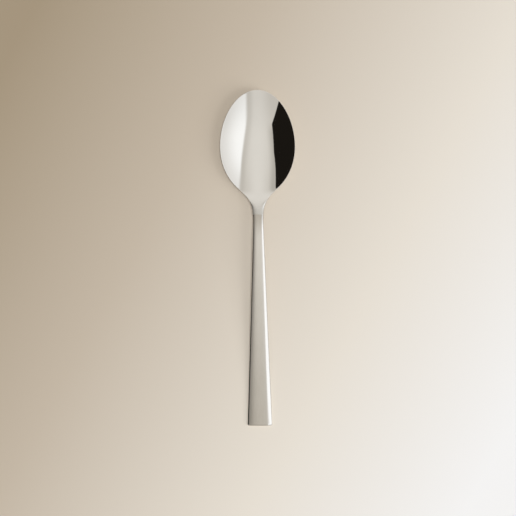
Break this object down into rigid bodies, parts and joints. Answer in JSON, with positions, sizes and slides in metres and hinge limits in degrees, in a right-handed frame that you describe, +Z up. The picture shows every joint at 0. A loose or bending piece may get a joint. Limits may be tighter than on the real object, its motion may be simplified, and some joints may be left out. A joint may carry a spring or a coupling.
{
  "type": "tablespoon",
  "caption": "Steel tablespoon with an egg-shaped mirror polished bowl and a slim domed handle that widens to a square end.",
  "frame": {"origin": "on the table, under the middle of the spoon's length and width", "axes": "+Z up from the table, +Y along the spoon from the handle to the tip of the bowl, +X across it"},
  "size_m": [0.0446, 0.2, 0.014],
  "materials": {
    "mirror_steel": "polished",
    "satin_steel": "gloss"
  },
  "bodies": {
    "root": {"bowl": "mirror_steel", "handle": "satin_steel"}
  },
  "joints": []
}
